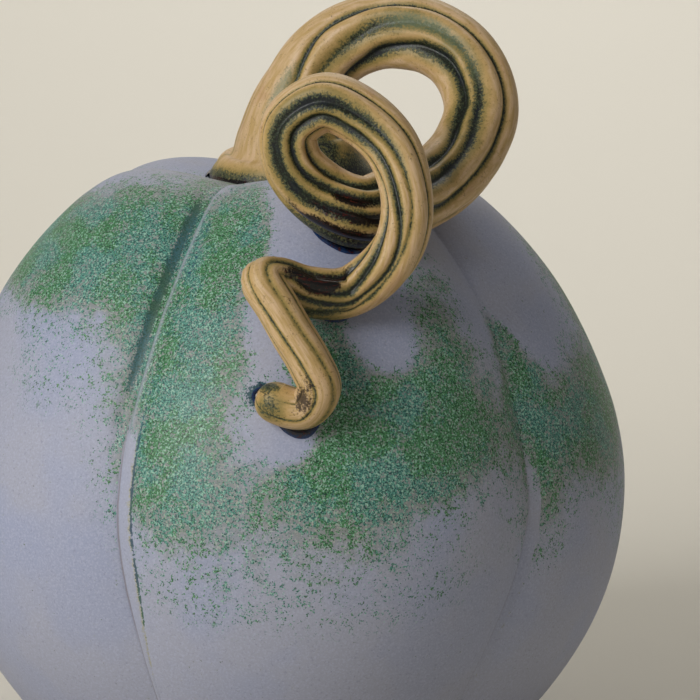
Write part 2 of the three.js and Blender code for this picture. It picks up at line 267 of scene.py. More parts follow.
def body_grid(places, columns, inset=0.0, lips=True):
    """Points of the body in mm, rows by columns, with each point's azimuth, its distance in mm
    from the nearest crease, below zero on the crease's left, and how sharp the band there is."""
    r, z, nr, nz = (v[:, None] for v in section(np.asarray(places, float)))
    u = np.linspace(0, 1, columns, endpoint=False)
    u = u - BUNCHED * np.sin(2 * np.pi * u) / (2 * np.pi)
    low = z < WIDEST
    upper = smooth(88, 112, z)
    points, azimuths, offsets, sharps = [], [], [], []
    for lobe in range(LOBES):
        start = crease_at(lobe, z)
        width = crease_at(lobe + 1, z) - start
        degrees = width * u[None, :]
        depth = CREASE_DEPTH * smooth(6, 70, r) * np.where(
            low, (0.35 + 0.65 * smooth(-5, 60, z)) * smooth(44, 62, r), 1.0)
        press = depth * dip(degrees / width)
        right = degrees > width / 2
        off = np.radians(np.where(right, degrees - width, degrees)) * r
        above, below = LIPS[lobe]
        next_above, next_below = LIPS[(lobe + 1) % LOBES]
        sharp = np.where(right, next_below + (next_above - next_below) * upper,
                         below + (above - below) * upper)
        if lips:
            fade = smooth(22, 50, r) * np.where(low, smooth(8, 40, z), 1.0)
            across = off / (0.3 + 0.7 * smooth(32, 66, z))
            # The pressed line, its raised lip, a low swelling, the scored line to their right,
            # and the hollow to their left.
            press = press + fade * sharp * (
                0.3 * hump(across, 0, 0.5)
                - (0.1 + 0.45 * upper) * hump(across, 1.5, 1.2 - 0.4 * upper)
                - 0.1 * hump(across, 3.2, 1.3) + 0.4 * hump(across, 4.9, 0.6)
                + 0.5 * upper * hump(off, -2.4, 1.9))
        radius = r - press * np.where(low, 1.0, nr) - inset * nr
        height = np.maximum(z, 0) - press * np.where(low, 0.0, nz) - inset * nz
        angle = np.radians(start + degrees)
        x = radius * np.sin(angle)
        points.append(np.stack([AXIS[0] + x, AXIS[1] - radius * np.cos(angle),
                                height - LEAN * x * smooth(WIDEST, 160, height)], -1))
        azimuths.append(start + degrees)
        offsets.append(off)
        sharps.append(sharp)
    return tuple(np.concatenate(v, 1) for v in (points, azimuths, offsets, sharps))


def spot_distance(azimuth, z, a, h, wide, high):
    """Squared distance from the middle of a spot on the body, 1 at its edge."""
    return (wrapped(azimuth - a) / wide) ** 2 + ((z - h) / high) ** 2


def crystal_density(azimuth, z):
    """How densely the green crystals lie, 0 to 1."""
    total = np.zeros_like(azimuth)
    for *spot, strength in CRYSTALS:
        total += strength * np.exp(-spot_distance(azimuth, z, *spot) ** 1.3)
    return np.clip(total, 0, 1)


def blue_specks(azimuth, z):
    """How densely the dark blue specks lie on the bare lavender."""
    total = np.zeros_like(azimuth)
    for *spot, strength in BLUE_SPECKS:
        total = np.maximum(total, strength * np.exp(-spot_distance(azimuth, z, *spot)))
    return total


# Stem shape

def softened(values, half):
    """Values averaged with their neighbours, up to half a window either side."""
    kernel = np.hanning(2 * half + 1)
    return np.convolve(np.pad(values, half, "edge"), kernel / kernel.sum(), "valid")


def stem_line(step_mm):
    """Centripetal Catmull-Rom line through the stem's route: places every step along it, closer
    together over its rounded tip, the radius, the turn and the distance there, and its length."""
    p = STEM[:, :3]
    ends = np.vstack([2 * p[0] - p[1], p, 2 * p[-1] - p[-2]])
    between = 60                    # points worked out between two of the route's
    dense, values = [], []
    for i in range(len(p) - 1):
        p0, p1, p2, p3 = ends[i:i + 4]
        d0, d1, d2 = (np.linalg.norm(b - a) ** 0.5 for a, b in ((p0, p1), (p1, p2), (p2, p3)))
        t1 = ((p1 - p0) / d0 - (p2 - p0) / (d0 + d1) + (p2 - p1) / d1) * d1
        t2 = ((p2 - p1) / d1 - (p3 - p1) / (d1 + d2) + (p3 - p2) / d2) * d1
        s = np.linspace(0, 1, between, endpoint=False)[:, None]
        dense.append(p1 + t1 * s + (-3 * p1 + 3 * p2 - 2 * t1 - t2) * s ** 2
                     + (2 * p1 - 2 * p2 + t1 + t2) * s ** 3)
        values.append(STEM[i, 3:] + (STEM[i + 1, 3:] - STEM[i, 3:]) * s)
    dense = np.vstack([*dense, p[-1:]])
    values = np.vstack([*values, STEM[-1:, 3:]])
    run = np.r_[0, np.cumsum(np.linalg.norm(np.diff(dense, axis=0), axis=1))]
    radius_end = values[-1, 0]
    body = np.arange(0, run[-1] - radius_end, step_mm)
    cap = run[-1] - radius_end * (1 - np.sin(np.linspace(0, np.pi / 2, 14)))
    s = np.r_[body, cap[cap > body[-1] + 0.1]]
    radius, turn = (np.interp(s, run, softened(values[:, k], 3 * between // 2)) for k in (0, 1))
    centre = np.stack([np.interp(s, run, dense[:, k]) for k in range(3)], -1)
    return centre, radius, turn, s, run[-1]


def stem_frames(centre):
    """Two directions across the stem at each place, carried along it without twisting."""
    along = np.gradient(centre, axis=0)
    along /= np.linalg.norm(along, axis=1)[:, None]
    side = np.zeros_like(centre)
    v = np.array([0.0, -1.0, 0.0])
    for i, t in enumerate(along):
        v = v - t * (v @ t)
        v = v / np.linalg.norm(v)
        side[i] = v
    return side, np.cross(along, side)


def wobble(s, seed, wavelength):
    """A slow, seeded waver along a length, about -1 to 1."""
    rng = np.random.default_rng(seed)
    knots = rng.uniform(-1, 1, int(s[-1] / wavelength) + 4)
    x = s / wavelength
    i = x.astype(int)
    f = x - i
    f = f * f * (3 - 2 * f)
    return knots[i] * (1 - f) + knots[i + 1] * f


def track(rows, s):
    """A flute's direction, half width, depth, darkness and spread at each place along the stem."""
    rows = np.array(rows, float)
    rows[:, 1] = np.degrees(np.unwrap(np.radians(rows[:, 1])))
    dense = np.arange(0, s[-1] + 1, 1.0)
    return [np.interp(s, dense, softened(np.interp(dense, rows[:, 0], values), 7))
            for values in rows.T[1:]]


def patches(rows, s, theta):
    """Soft patches on the stem, each given by its place, its half sizes and its strength."""
    total = np.zeros((len(s), len(theta)))
    for at, turned, half, wide, strength in rows:
        d = wrapped(theta[None, :] - turned) / wide
        away = ((s[:, None] - at) / half) ** 2 + d * d
        total = np.maximum(total, strength * np.exp(-away ** 1.4))
    return total


# Materials

def add_node(tree, kind, sockets=None, output=0, **settings):
    """Adds one node: settings are its properties, and each of its sockets takes a number, an sRGB
    hex colour or another node's output. Gives back the output asked for."""
    made = tree.nodes.new(kind)
    for name, value in settings.items():
        setattr(made, name, value)
    for key, value in (sockets or {}).items():
        if isinstance(value, bpy.types.NodeSocket):
            tree.links.new(value, made.inputs[key])
        else:
            made.inputs[key].default_value = linear(value) if isinstance(value, str) else value
    return made.outputs[output] if made.outputs else None


def new_material(name, stored=(), grains=None):
    """A material, its node tree, and what its glaze is made from: the place on the piece, the
    values stored on its points, and noises, each given by the size of its features in mm, its
    detail, roughness and distortion."""
    material = bpy.data.materials.new(name)
    material.use_nodes = True
    tree = material.node_tree
    tree.nodes.clear()
    given = SimpleNamespace()
    for key in stored:
        setattr(given, key, add_node(tree, "ShaderNodeAttribute", output="Fac", attribute_name=key))
    if grains:
        given.where = add_node(tree, "ShaderNodeTexCoord", output="Object")
    for key, (size, detail, rough, warp) in (grains or {}).items():
        setattr(given, key, add_node(tree, "ShaderNodeTexNoise", {
            "Vector": given.where, "Scale": 1 / (size * 2 * MM), "Detail": detail,
            "Roughness": rough, "Distortion": warp}))
    return material, tree, given


def finish(tree, sockets):
    """Wires the shader, with its sockets filled, to the material's output."""
    shader = add_node(tree, "ShaderNodeBsdfPrincipled", sockets)
    add_node(tree, "ShaderNodeOutputMaterial", {"Surface": shader})


def ruffled(tree, value, *noises):
    """A value pushed about by noises, each (noise, amount): about amount / 2 either way."""
    for grain, amount in noises:
        centred = add_node(tree, "ShaderNodeMath", {0: grain, 1: 0.5}, operation="SUBTRACT")
        value = add_node(tree, "ShaderNodeMath", {0: centred, 1: amount, 2: value},
                         operation="MULTIPLY_ADD")
    return value


def bell(tree, value, middle, half):
    """1 at middle, falling to 0.37 at half either side."""
    away = add_node(tree, "ShaderNodeMath", {0: value, 1: middle}, operation="SUBTRACT")
    away = add_node(tree, "ShaderNodeMath", {0: away, 1: half}, operation="DIVIDE")
    square = add_node(tree, "ShaderNodeMath", {0: away, 1: away}, operation="MULTIPLY")
    square = add_node(tree, "ShaderNodeMath", {0: square, 1: -1.0}, operation="MULTIPLY")
    return add_node(tree, "ShaderNodeMath", {0: square}, operation="EXPONENT")


def extent(tree, *parts):
    """How far a glaze shows: the product of its parts, each a value or a smooth step given as
    (value, low, high), 0 at low and 1 at high."""
    made = None
    for part in parts:
        if isinstance(part, tuple):
            part = add_node(tree, "ShaderNodeMapRange",
                            dict(zip(("Value", "From Min", "From Max"), part)),
                            interpolation_type="SMOOTHSTEP")
        made = part if made is None else add_node(tree, "ShaderNodeMath", {0: made, 1: part},
                                                  operation="MULTIPLY")
    return made


def lay(tree, under, over, *parts):
    """One colour laid over another, as far as the parts let it show."""
    return add_node(tree, "ShaderNodeMix", {"Factor": extent(tree, *parts), 6: under, 7: over}, 2,
                    data_type="RGBA")


def weighed(tree, start, *parts):
    """A value plus parts, each (value, share)."""
    for value, share in parts:
        start = add_node(tree, "ShaderNodeMath", {0: value, 1: share, 2: start},
                         operation="MULTIPLY_ADD")
    return start


def relief(tree, strength, *parts):
    """The slight relief of a glaze's skin, from parts, each (value, share)."""
    return add_node(tree, "ShaderNodeBump", {
        "Height": weighed(tree, 0.0, *parts), "Strength": strength, "Distance": SKIN_RELIEF})


def matte_crystal_glaze(look):
    """Matte stoneware glaze with crystals: a lavender base with a fine sugary grain, and green
    copper crystals that grew where it lay thick. Dull, with a little more shine on the crystals."""
    material, tree, given = new_material(
        "matte_crystal_glaze", ("crystals", "beside", "pooled", "bare", "off"), BODY_GRAINS)
    height = add_node(tree, "ShaderNodeSeparateXYZ", {"Vector": given.where}, "Z")
    upper = extent(tree, (height, 0.088, 0.114))
    lower = add_node(tree, "ShaderNodeMath", {0: 1.0, 1: upper}, operation="SUBTRACT")
    # Millimetres past the crease. The band beside it narrows to under a third towards the foot.
    narrow = add_node(tree, "ShaderNodeMapRange", {
        "Value": height, "From Min": 0.032, "From Max": 0.066, "To Min": 0.3},
        interpolation_type="SMOOTHSTEP")
    off = add_node(tree, "ShaderNodeMath", {0: given.off, 1: narrow}, operation="DIVIDE")
    off = ruffled(tree, off, (given.waver, 0.8))
    clear_band = extent(tree, (off, -0.6, 0.2), (off, 4.7, 4.1), lower, given.beside)
    thick = weighed(tree, given.crystals, (clear_band, -1.5))

    # Lavender: cloudy over 14 mm and warmer low down, sugary with pale and dark grains.
    warmth = weighed(tree, extent(tree, (given.broad, 0.35, 0.65)),
                     (extent(tree, (height, 0.08, 0.02)), 0.6))
    base = lay(tree, look.base_cool, look.base_warm, warmth)
    base = lay(tree, base, look.base_grain, (given.grain, 0.45, 0.7), 0.55)
    base = lay(tree, base, "#82849A", (given.pits, 0.55, 0.72), 0.5)
    # Among the crystals the base turns to a warm grey, with cream grains.
    warm = lay(tree, look.base_between, "#A3A798", (given.grain, 0.54, 0.66))
    near_green = ruffled(tree, thick, (given.clump, 0.8))
    base = lay(tree, base, warm, (near_green, 0.12, 0.6), 0.9)

    # Crystals: flecks of about 0.3 mm, cut from noise by how densely they lie, and gathered in
    # clusters about 1 mm across and in clumps 3 to 8 mm wide.
    level = weighed(tree, given.fleck, (thick, 0.30))
    level = ruffled(tree, level, (given.clump, 0.4), (given.cluster, 0.75))
    crystal = extent(tree, (level, 0.64, 0.70), (thick, 0.01, 0.10))
    green = lay(tree, look.crystal_dark, look.crystal_light, (given.tone, 0.36, 0.58))
    teal = lay(tree, "#1C4850", look.crystal_teal, (given.tone, 0.4, 0.6))
    patchy = ruffled(tree, weighed(tree, given.drift, (thick, 0.04)), (given.speckle, 0.5))
    green = lay(tree, green, teal, (patchy, 0.48, 0.62), 0.75)
    green = lay(tree, green, "#9DC4B2", (given.grain, 0.55, 0.62), 0.85)
    colour = lay(tree, base, green, crystal)

    # Dark green glaze that ran into the hollow left of each crease, broken at its edges; its
    # darkness there is partly painted shade of the hollow.
    run = extent(tree, bell(tree, off, -2.5, 1.9), (height, 0.102, 0.122),
                 (height, 0.166, 0.157), given.beside)
    run = ruffled(tree, run, (given.fleck, 1.0), (given.cluster, 0.8))
    hollow_green_and_shade_tone = lay(tree, "#3C5F4C", "#35606A", (given.drift, 0.42, 0.6))
    hollow_green_and_shade_tone = lay(tree, "#2B4B3F", hollow_green_and_shade_tone, (given.tone, 0.35, 0.6))
    colour = lay(tree, colour, hollow_green_and_shade_tone, (run, 0.42, 0.72), 0.92)

    # The band along each crease: pale where the glaze broke over it, with a painted highlight on
    # the raised lip, a thin brown line of painted shade down the crease, and a broken dark line 5
    # mm to its right, where glaze ran into the scored one.
    pale = extent(tree, bell(tree, off, 1.4, 0.75), upper, 0.8)
    pale = weighed(tree, pale, (clear_band, 0.25))
    colour = lay(tree, colour, look.lip, pale, given.beside, 0.8)
    fringe = extent(tree, bell(tree, off, 4.6, 0.8), given.beside, lower,
                    (height, 0.025, 0.045), 0.8)
    fringe = ruffled(tree, fringe, (given.fleck, 1.4), (given.cluster, 1.8))
    colour = lay(tree, colour, "#A9A478", (fringe, 0.35, 0.75), 0.6)
    scored = weighed(tree, extent(tree, lower, (height, 0.034, 0.060), 0.95), (upper, 0.5))
    scored = extent(tree, bell(tree, off, 4.9, 0.6), given.beside, scored)
    scored = ruffled(tree, scored, (given.fleck, 1.4), (given.cluster, 1.8))
    scored_tone = lay(tree, "#1E5A45", "#1C4560", (given.drift, 0.44, 0.56))
    colour = lay(tree, colour, scored_tone, (scored, 0.45, 0.75), 0.85)
    # A thin brown line of painted shade down the pressed crease, low on the body.
    colour = lay(tree, colour, "#6E6058", bell(tree, off, 0.0, 0.3), given.beside, lower, 0.6)

    # Blue glass where the stem's glaze ran down onto the body. Its base and inside are bare clay.
    soak = ruffled(tree, given.pooled, (given.fleck, 0.8), (given.ragged, 0.5))
    soaked = extent(tree, (soak, 0.40, 0.58))
    colour = lay(tree, colour, "#1B4A52", soaked)
    colour = lay(tree, colour, "#0C1730", (soak, 0.62, 0.8))
    colour = lay(tree, colour, "#B09A80", given.bare)

    rough = add_node(tree, "ShaderNodeMapRange", {
        "Value": crystal, "To Min": 0.62, "To Max": 0.48}, interpolation_type="SMOOTHSTEP")
    rough = weighed(tree, rough, (soaked, -0.34), (given.bare, 0.3))
    finish(tree, {
        "Base Color": colour, "Roughness": rough, "IOR": 1.5, "Specular IOR Level": 0.4,
        "Normal": relief(tree, 0.3, (given.grain, 0.35), (crystal, 0.2), (given.swell, 0.5))})
    return material


def broken_ochre_glaze(look):
    """Satin iron glaze over pulled clay: ochre where it broke thin on the ridges, lighter along
    their crowns as painted highlight, then olive down their sides, partly painted shade, and
    speckled blue-black where it ran into the flutes, glassy where it pooled."""
    material, tree, given = new_material(
        "broken_ochre_glaze", ("flute", "olive", "smudge", "pooled", "along", "around"),
        STEM_GRAINS)
    # Streaks along the stem: "along" and "around" are stored in units of one streak.
    lengthwise = add_node(tree, "ShaderNodeCombineXYZ", {"X": given.along, "Y": given.around})
    streak = add_node(tree, "ShaderNodeTexNoise", {
        "Vector": lengthwise, "Scale": 1.0, "Detail": 4.0, "Roughness": 0.6})

    # Ridges: ochre, lighter and pinker along their crowns as painted highlight, and more olive down
    # their sides, partly olive glaze and partly painted shade.
    spread = ruffled(tree, given.flute, (given.speck, 0.9), (given.mottle, 0.7), (streak, 0.4))
    crown_ochre_and_highlight = lay(tree, look.ridge, look.ridge_pale_and_highlight, (streak, 0.35, 0.65))
    crown_ochre_and_highlight = lay(tree, crown_ochre_and_highlight, "#B98F6A", (given.drift, 0.46, 0.34), 0.4)
    colour = lay(tree, crown_ochre_and_highlight, look.ridge, (spread, -1.0, -0.4))
    side = ruffled(tree, spread, (given.drift, 1.4))
    colour = lay(tree, colour, look.flank_olive_and_shade, (side, -0.6, 0.1))
    colour = lay(tree, colour, "#5E4A2E", (given.speck, 0.57, 0.68), (given.mottle, 0.42, 0.6), 0.6)

    # Flutes: the dark glaze that ran into them, broken into specks at its edges.
    level = ruffled(tree, given.flute, (given.speck, 1.6), (streak, 0.3), (given.mottle, 0.6))
    colour = lay(tree, colour, "#665F38", (level, 0.08, 0.32))
    thin = lay(tree, look.flute, "#5A6042", (given.grain, 0.44, 0.58))
    colour = lay(tree, colour, thin, (level, 0.26, 0.46))
    deep = lay(tree, "#181913", "#323F2F", (given.grain, 0.48, 0.62))
    deep = lay(tree, deep, "#101826", (given.drift, 0.52, 0.6), 0.6)
    colour = lay(tree, colour, deep, (level, 0.50, 0.66))

    # An olive wash, brown smudges of iron near the tip, and glass where the glaze stood deep, with
    # painted shade in the glass behind the front loop.
    wash = ruffled(tree, given.olive, (given.speck, 0.8), (given.drift, 0.5))
    wash = extent(tree, wash, (given.olive, 0.02, 0.3))
    colour = lay(tree, colour, "#6B7858", (wash, 0.3, 0.75), 0.7)
    stain = ruffled(tree, given.smudge, (given.speck, 2.4), (given.mottle, 1.6))
    stain = extent(tree, stain, (given.smudge, 0.02, 0.3))
    colour = lay(tree, colour, "#1D1213", (stain, 0.3, 0.95), 0.88)
    wet = ruffled(tree, given.pooled, (given.drift, 0.8), (given.speck, 0.8))
    wet = extent(tree, (extent(tree, wet, (given.pooled, 0.02, 0.3)), 0.3, 0.7))
    glassy = lay(tree, "#0E0C0E", "#4A170F", (ruffled(tree, streak, (given.speck, 0.5)), 0.54, 0.7))
    colour = lay(tree, colour, glassy, wet)

    rough = add_node(tree, "ShaderNodeMapRange", {
        "Value": level, "From Min": 0.3, "From Max": 0.7, "To Min": 0.46, "To Max": 0.4},
        interpolation_type="SMOOTHSTEP")
    rough = weighed(tree, rough, (wet, -0.24))
    in_flutes = extent(tree, given.speck, (level, 0.2, 0.5))
    finish(tree, {
        "Base Color": colour, "Roughness": rough, "IOR": 1.52, "Specular IOR Level": 0.38,
        "Normal": relief(tree, 0.35, (streak, 0.6), (given.grain, 0.3), (in_flutes, 1.0))})
    return material


def pooled_glass():
    """Glaze that ran down and set as thick glass at the foot of the stem: black with blue at its
    thin edge and iron red in its depth, wet-looking."""
    material, tree, given = new_material("pooled_glass", ("thick",), {"speck": (0.6, 3, 0.6, 0)})
    thick = ruffled(tree, given.thick, (given.speck, 0.4))
    colour = lay(tree, "#14335F", "#090D1A", (thick, 0.08, 0.4))
    colour = lay(tree, colour, "#43120C", (given.speck, 0.56, 0.66), 0.8)
    finish(tree, {
        "Base Color": colour, "Roughness": 0.13, "IOR": 1.52, "Specular IOR Level": 0.5})
    return material


def painted_board():
    """Matte painted board under the object: pale warm grey, no shine."""
    material, tree, _ = new_material("painted_board")
    finish(tree, {"Base Color": "#D9D5CB", "Roughness": 0.9, "Specular IOR Level": 0.1})
    return material


# Mesh building

def smooth_object(name, points, faces, material):
    """A smooth-shaded object in the scene, from points in metres."""
    mesh = bpy.data.meshes.new(name)
    mesh.from_pydata(points, [], faces)
    mesh.polygons.foreach_set("use_smooth", [True] * len(mesh.polygons))
    mesh.materials.append(material)
    mesh.update()
    thing = bpy.data.objects.new(name, mesh)
    bpy.context.scene.collection.objects.link(thing)
    return thing


def new_object(name, points_mm, faces, attributes, material):
    """A piece of the squash from points in mm, with named values stored on its points."""
    thing = smooth_object(name, (points_mm * MM).tolist(), faces, material)
    for key, values in attributes.items():
        layer = thing.data.attributes.new(key, "FLOAT", "POINT")
        layer.data.foreach_set("value", np.ascontiguousarray(values, dtype=np.float32).ravel())
    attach(thing, "root")
    return thing


def ring_faces(rows, columns, first, last, flip=False):
    """Quads of rows of points joined round, closed by the single points whose numbers are first
    and last."""
    faces = []
    for j in range(columns):
        k = (j + 1) % columns
        faces.append((first, j, k))
        faces.append((last, (rows - 1) * columns + k, (rows - 1) * columns + j))
        for i in range(rows - 1):
            a, b = i * columns, (i + 1) * columns
            faces.append((a + j, b + j, b + k, a + k))
    return [tuple(reversed(f)) for f in faces] if flip else faces


def stem_distance(points, centre, radius, chunk=4000):
    """Distance in mm from each point to the stem's skin."""
    out = np.empty(len(points))
    for i in range(0, len(points), chunk):
        d = np.linalg.norm(points[i:i + chunk, None] - centre[None], axis=2) - radius[None]
        out[i:i + chunk] = d.min(1)
    return out


def body_surface_tree():
    """A coarser body to measure distances from, in mm."""
    grid = body_grid(np.linspace(0.01, 0.9, 150), 40)[0]
    rows, n = grid.shape[:2]
    count = rows * n
    points = np.vstack([grid.reshape(-1, 3), AXIS + [0, 0, PROFILE[0][1]], grid[-1].mean(0)])
    faces = ring_faces(rows, n, count, count + 1)
    return BVHTree.FromPolygons([tuple(p) for p in points], faces)


def body_gap(tree, point):
    """Height in mm of a point above the body, below zero inside it."""
    place, normal, _, _ = tree.find_nearest(Vector(point))
    away = Vector(point) - place
    return away.length if away.dot(normal) > 0 else -away.length


class SquashLook(bpy.types.PropertyGroup):
    """Colours of the glazes, as sRGB hex values."""
    base_cool: StringProperty(
        name="Lavender", description="Cool tone of the matte base glaze", default="#9AA1BB")
    base_warm: StringProperty(
        name="Warm lavender", description="Warm tone of the matte base glaze", default="#A2A5B6")
    base_grain: StringProperty(
        name="Base grain", description="Light grain in the base glaze", default="#B2B7CC")
    base_between: StringProperty(
        name="Between crystals", description="Base glaze among the crystals", default="#858A88")
    crystal_dark: StringProperty(
        name="Dark crystal", description="Darkest green of the crystals", default="#113422")
    crystal_light: StringProperty(
        name="Light crystal", description="Lightest green of the crystals", default="#4C8A5A")
    crystal_teal: StringProperty(
        name="Teal crystal", description="Blue-green of the crystals", default="#62A09A")
    # The lip's colour: glaze broken thin over the lip, with a painted highlight on it.
    lip: StringProperty(
        name="Crease lip", description="Where the glaze breaks over the lip", default="#A6AAB9")
    ridge: StringProperty(
        name="Ridge", description="Ochre on the stem's ridges", default="#BC9D66")
    # Palest ochre, laid in streaks along the ridges' crowns as a painted highlight.
    ridge_pale_and_highlight: StringProperty(
        name="Light ridge", description="Palest ochre on the ridges", default="#D2B48E")
    # Olive down the ridges' sides: the glaze's own olive, darkened as painted shade.
    flank_olive_and_shade: StringProperty(
        name="Flank", description="Brown between ridge and flute", default="#94814A")
    flute: StringProperty(
        name="Flute", description="Glaze run into the flutes", default="#3A3D28")


class SquashSizes(bpy.types.PropertyGroup):
    """How finely the pieces are made, and how strong the light is."""
    body_rows: IntProperty(
        name="Body rows", description="Rows of points from top to base", default=230, min=40)
    lobe_columns: IntProperty(
        name="Lobe columns", description="Points across each lobe", default=68, min=12)
    stem_step: FloatProperty(
        name="Stem step", description="Distance between rings of the stem", default=0.0006,
        min=0.0003, unit="LENGTH")
    stem_sides: IntProperty(
        name="Stem sides", description="Points round the stem", default=150, min=28)
    key_power: FloatProperty(
        name="Key light", description="Power of the main soft light", default=14.0, min=0.0,
        unit="POWER")


class SQUASH_OT_body(bpy.types.Operator):
    """Build the thrown body with its pressed creases, hollow inside, with the vent in its base."""
    bl_idname = "squash.body"
    bl_label = "Lobed body"

    def execute(self, context):
        sizes = context.scene.squash_sizes
        columns = sizes.lobe_columns
        outer, azimuth, off, sharp = body_grid(np.linspace(0.015, 1, sizes.body_rows), columns)
        inner = body_grid(np.linspace(1, 0.03, 24), columns, WALL, False)[0]
        outer_rows, n = outer.shape[:2]
        turn = np.arctan2(outer[-1, :, 1] - AXIS[1], outer[-1, :, 0] - AXIS[0])
        vent = [AXIS + np.stack([VENT_RADIUS * np.cos(turn), VENT_RADIUS * np.sin(turn),
                                 np.full(n, z)], -1) for z in (0.0, WALL)]
        rows = np.concatenate([outer, np.array(vent), inner])
        top = AXIS + [0, 0, PROFILE[0][1]]
        points = np.vstack([rows.reshape(-1, 3), top, top - [0, 0, WALL]])
        count = len(rows) * n
        faces = ring_faces(len(rows), n, count, count + 1)

        z = outer[..., 2]
        centre, radius, _, s, _ = stem_line(1.5)
        above = s > 6
        gap = stem_distance(outer.reshape(-1, 3), centre[above] + AXIS, radius[above])
        gap = gap.reshape(z.shape)
        # The glaze soaked in round the stem, and further out below its curl.
        soaked_to = np.where((z < 122) & (np.abs(azimuth) < 12), 2.8, 1.7)
        values = {
            "crystals": crystal_density(azimuth, z),
            "off": np.clip(off, -20, 20),
            "beside": smooth(15, 9, np.abs(off)) * sharp,
            "pooled": np.maximum(smooth(soaked_to, -0.3, gap), blue_specks(azimuth, z)),
            "bare": smooth(1.6, 0.6, z),
        }
        pad = np.zeros(len(points) - outer_rows * n)
        values = {k: np.r_[v.reshape(-1), pad] for k, v in values.items()}
        values["bare"][outer_rows * n:] = 1.0
        body = new_object("squash_body_glazed", points, faces, values,
                          matte_crystal_glaze(context.scene.squash_look))
        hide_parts("squash_body")
        return {"FINISHED"}


class SQUASH_OT_stem(bpy.types.Operator):
    """Pull the stem: a fluted, twisting rope of clay from its flared foot to its curled tip."""
    bl_idname = "squash.stem"
    bl_label = "Coiled stem"

    def execute(self, context):
        sizes = context.scene.squash_sizes
        centre, radius, turn, s, length = stem_line(sizes.stem_step / MM)
        side, across = stem_frames(centre)
        theta = np.linspace(0, 360, sizes.stem_sides, endpoint=False)
        fade = smooth(8, 30, s) * (1 - smooth(length - 30, length - 5, s))
        rings = np.ones((len(s), len(theta)))
        flute = np.full_like(rings, -1.0)
        tracks = [track(rows, s) for rows in FLUTES]
        for k, (at, width, depth, dark, spread) in enumerate(tracks):
            at = at + 1.5 * wobble(s, 11 + k, 11)
            breadth = (width * (1 + 0.15 * wobble(s, 31 + k, 12)))[:, None]
            d = wrapped(theta[None, :] - at[:, None])
            strength = depth * (1 + 0.15 * wobble(s, 51 + k, 15)) * fade
            rings -= strength[:, None] * np.exp(-np.abs(d / breadth) ** 1.5)
            uneven = (0.12 + 0.2 * smooth(300, 315, s)) * wobble(s, 71 + k, 7)
            much = dark * (1 + uneven) * smooth(4, 30, s)
            wide = (spread * (1 + 0.2 * wobble(s, 91 + k, 8)))[:, None]
            flute = np.maximum(flute, much[:, None] - 1.55 * np.abs(d) / wide)
            # The clay between two flutes is rounded like a rope's strand.
            span = np.mod(tracks[(k + 1) % len(tracks)][0] - at, 360)[:, None]
            part = np.clip(np.mod(theta[None, :] - at[:, None], 360) / span, 0, 1)
            rings += 0.3 * strength[:, None] * np.sin(np.pi * part) ** 2 * smooth(0, 40, span)
        rings += 0.012 * wobble(s, 3, 9)[:, None]
        # The rope's end is rounded, and its last ring gives way to a single point.
        cap = np.sqrt(np.clip(1 - (1 - np.clip((length - s) / radius, 0, 1)) ** 2, 0, 1))
        rings *= (radius * cap)[:, None]
        angle = np.radians(theta[None, :] + turn[:, None])[..., None]
        spokes = np.cos(angle) * side[:, None] + np.sin(angle) * across[:, None]
        points = (centre[:, None] + rings[..., None] * spokes)[:-1] + AXIS
        flute = flute[:-1]
        s = s[:-1]
        rows, n = flute.shape

        body_tree = body_surface_tree()
        gap = np.array([body_gap(body_tree, p) for p in points.reshape(-1, 3)]).reshape(rows, n)
        low = s[:, None] < 45
        flute = np.maximum(flute, 1.55 * np.where(low, smooth(7.5, 1.5, gap), 0.0) - 1)
        # Near 176 mm along, on the limb seen through the front loop, the dark patches are partly
        # painted shade.
        flute = np.maximum(flute, 2 * patches(STEM_DARK_AND_SHADE, s, theta) - 1)
        middle = smooth(60, 120, s) * smooth(length - 20, length - 50, s)
        pooled = smooth(3.0, 0.2, gap) * middle[:, None]
        # The glassy patches near 176 mm along are partly painted shade as well.
        pooled = np.maximum(pooled, patches(STEM_POOLS_AND_SHADE, s, theta))
        pooled = np.maximum(pooled, np.where(s[:, None] < 40, smooth(1.9, 0.5, gap), 0.0))
        values = {
            "flute": flute, "pooled": pooled, "olive": patches(STEM_OLIVE, s, theta),
            "smudge": patches(STEM_SMUDGES, s, theta),
            "along": np.broadcast_to(s[:, None] / STREAK[0], flute.shape),
            "around": np.broadcast_to(theta / 360 * STEM_GIRTH / STREAK[1], flute.shape),
        }
        values = {k: np.r_[v.reshape(-1), [0.0, 0.0]] for k, v in values.items()}
        everything = np.vstack([points.reshape(-1, 3), centre[0] + AXIS, centre[-1] + AXIS])
        faces = ring_faces(rows, n, rows * n, rows * n + 1, flip=True)
        stem = new_object("coiled_stem_glazed", everything, faces, values,
                          broken_ochre_glaze(context.scene.squash_look))
        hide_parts("coiled_stem")
        return {"FINISHED"}


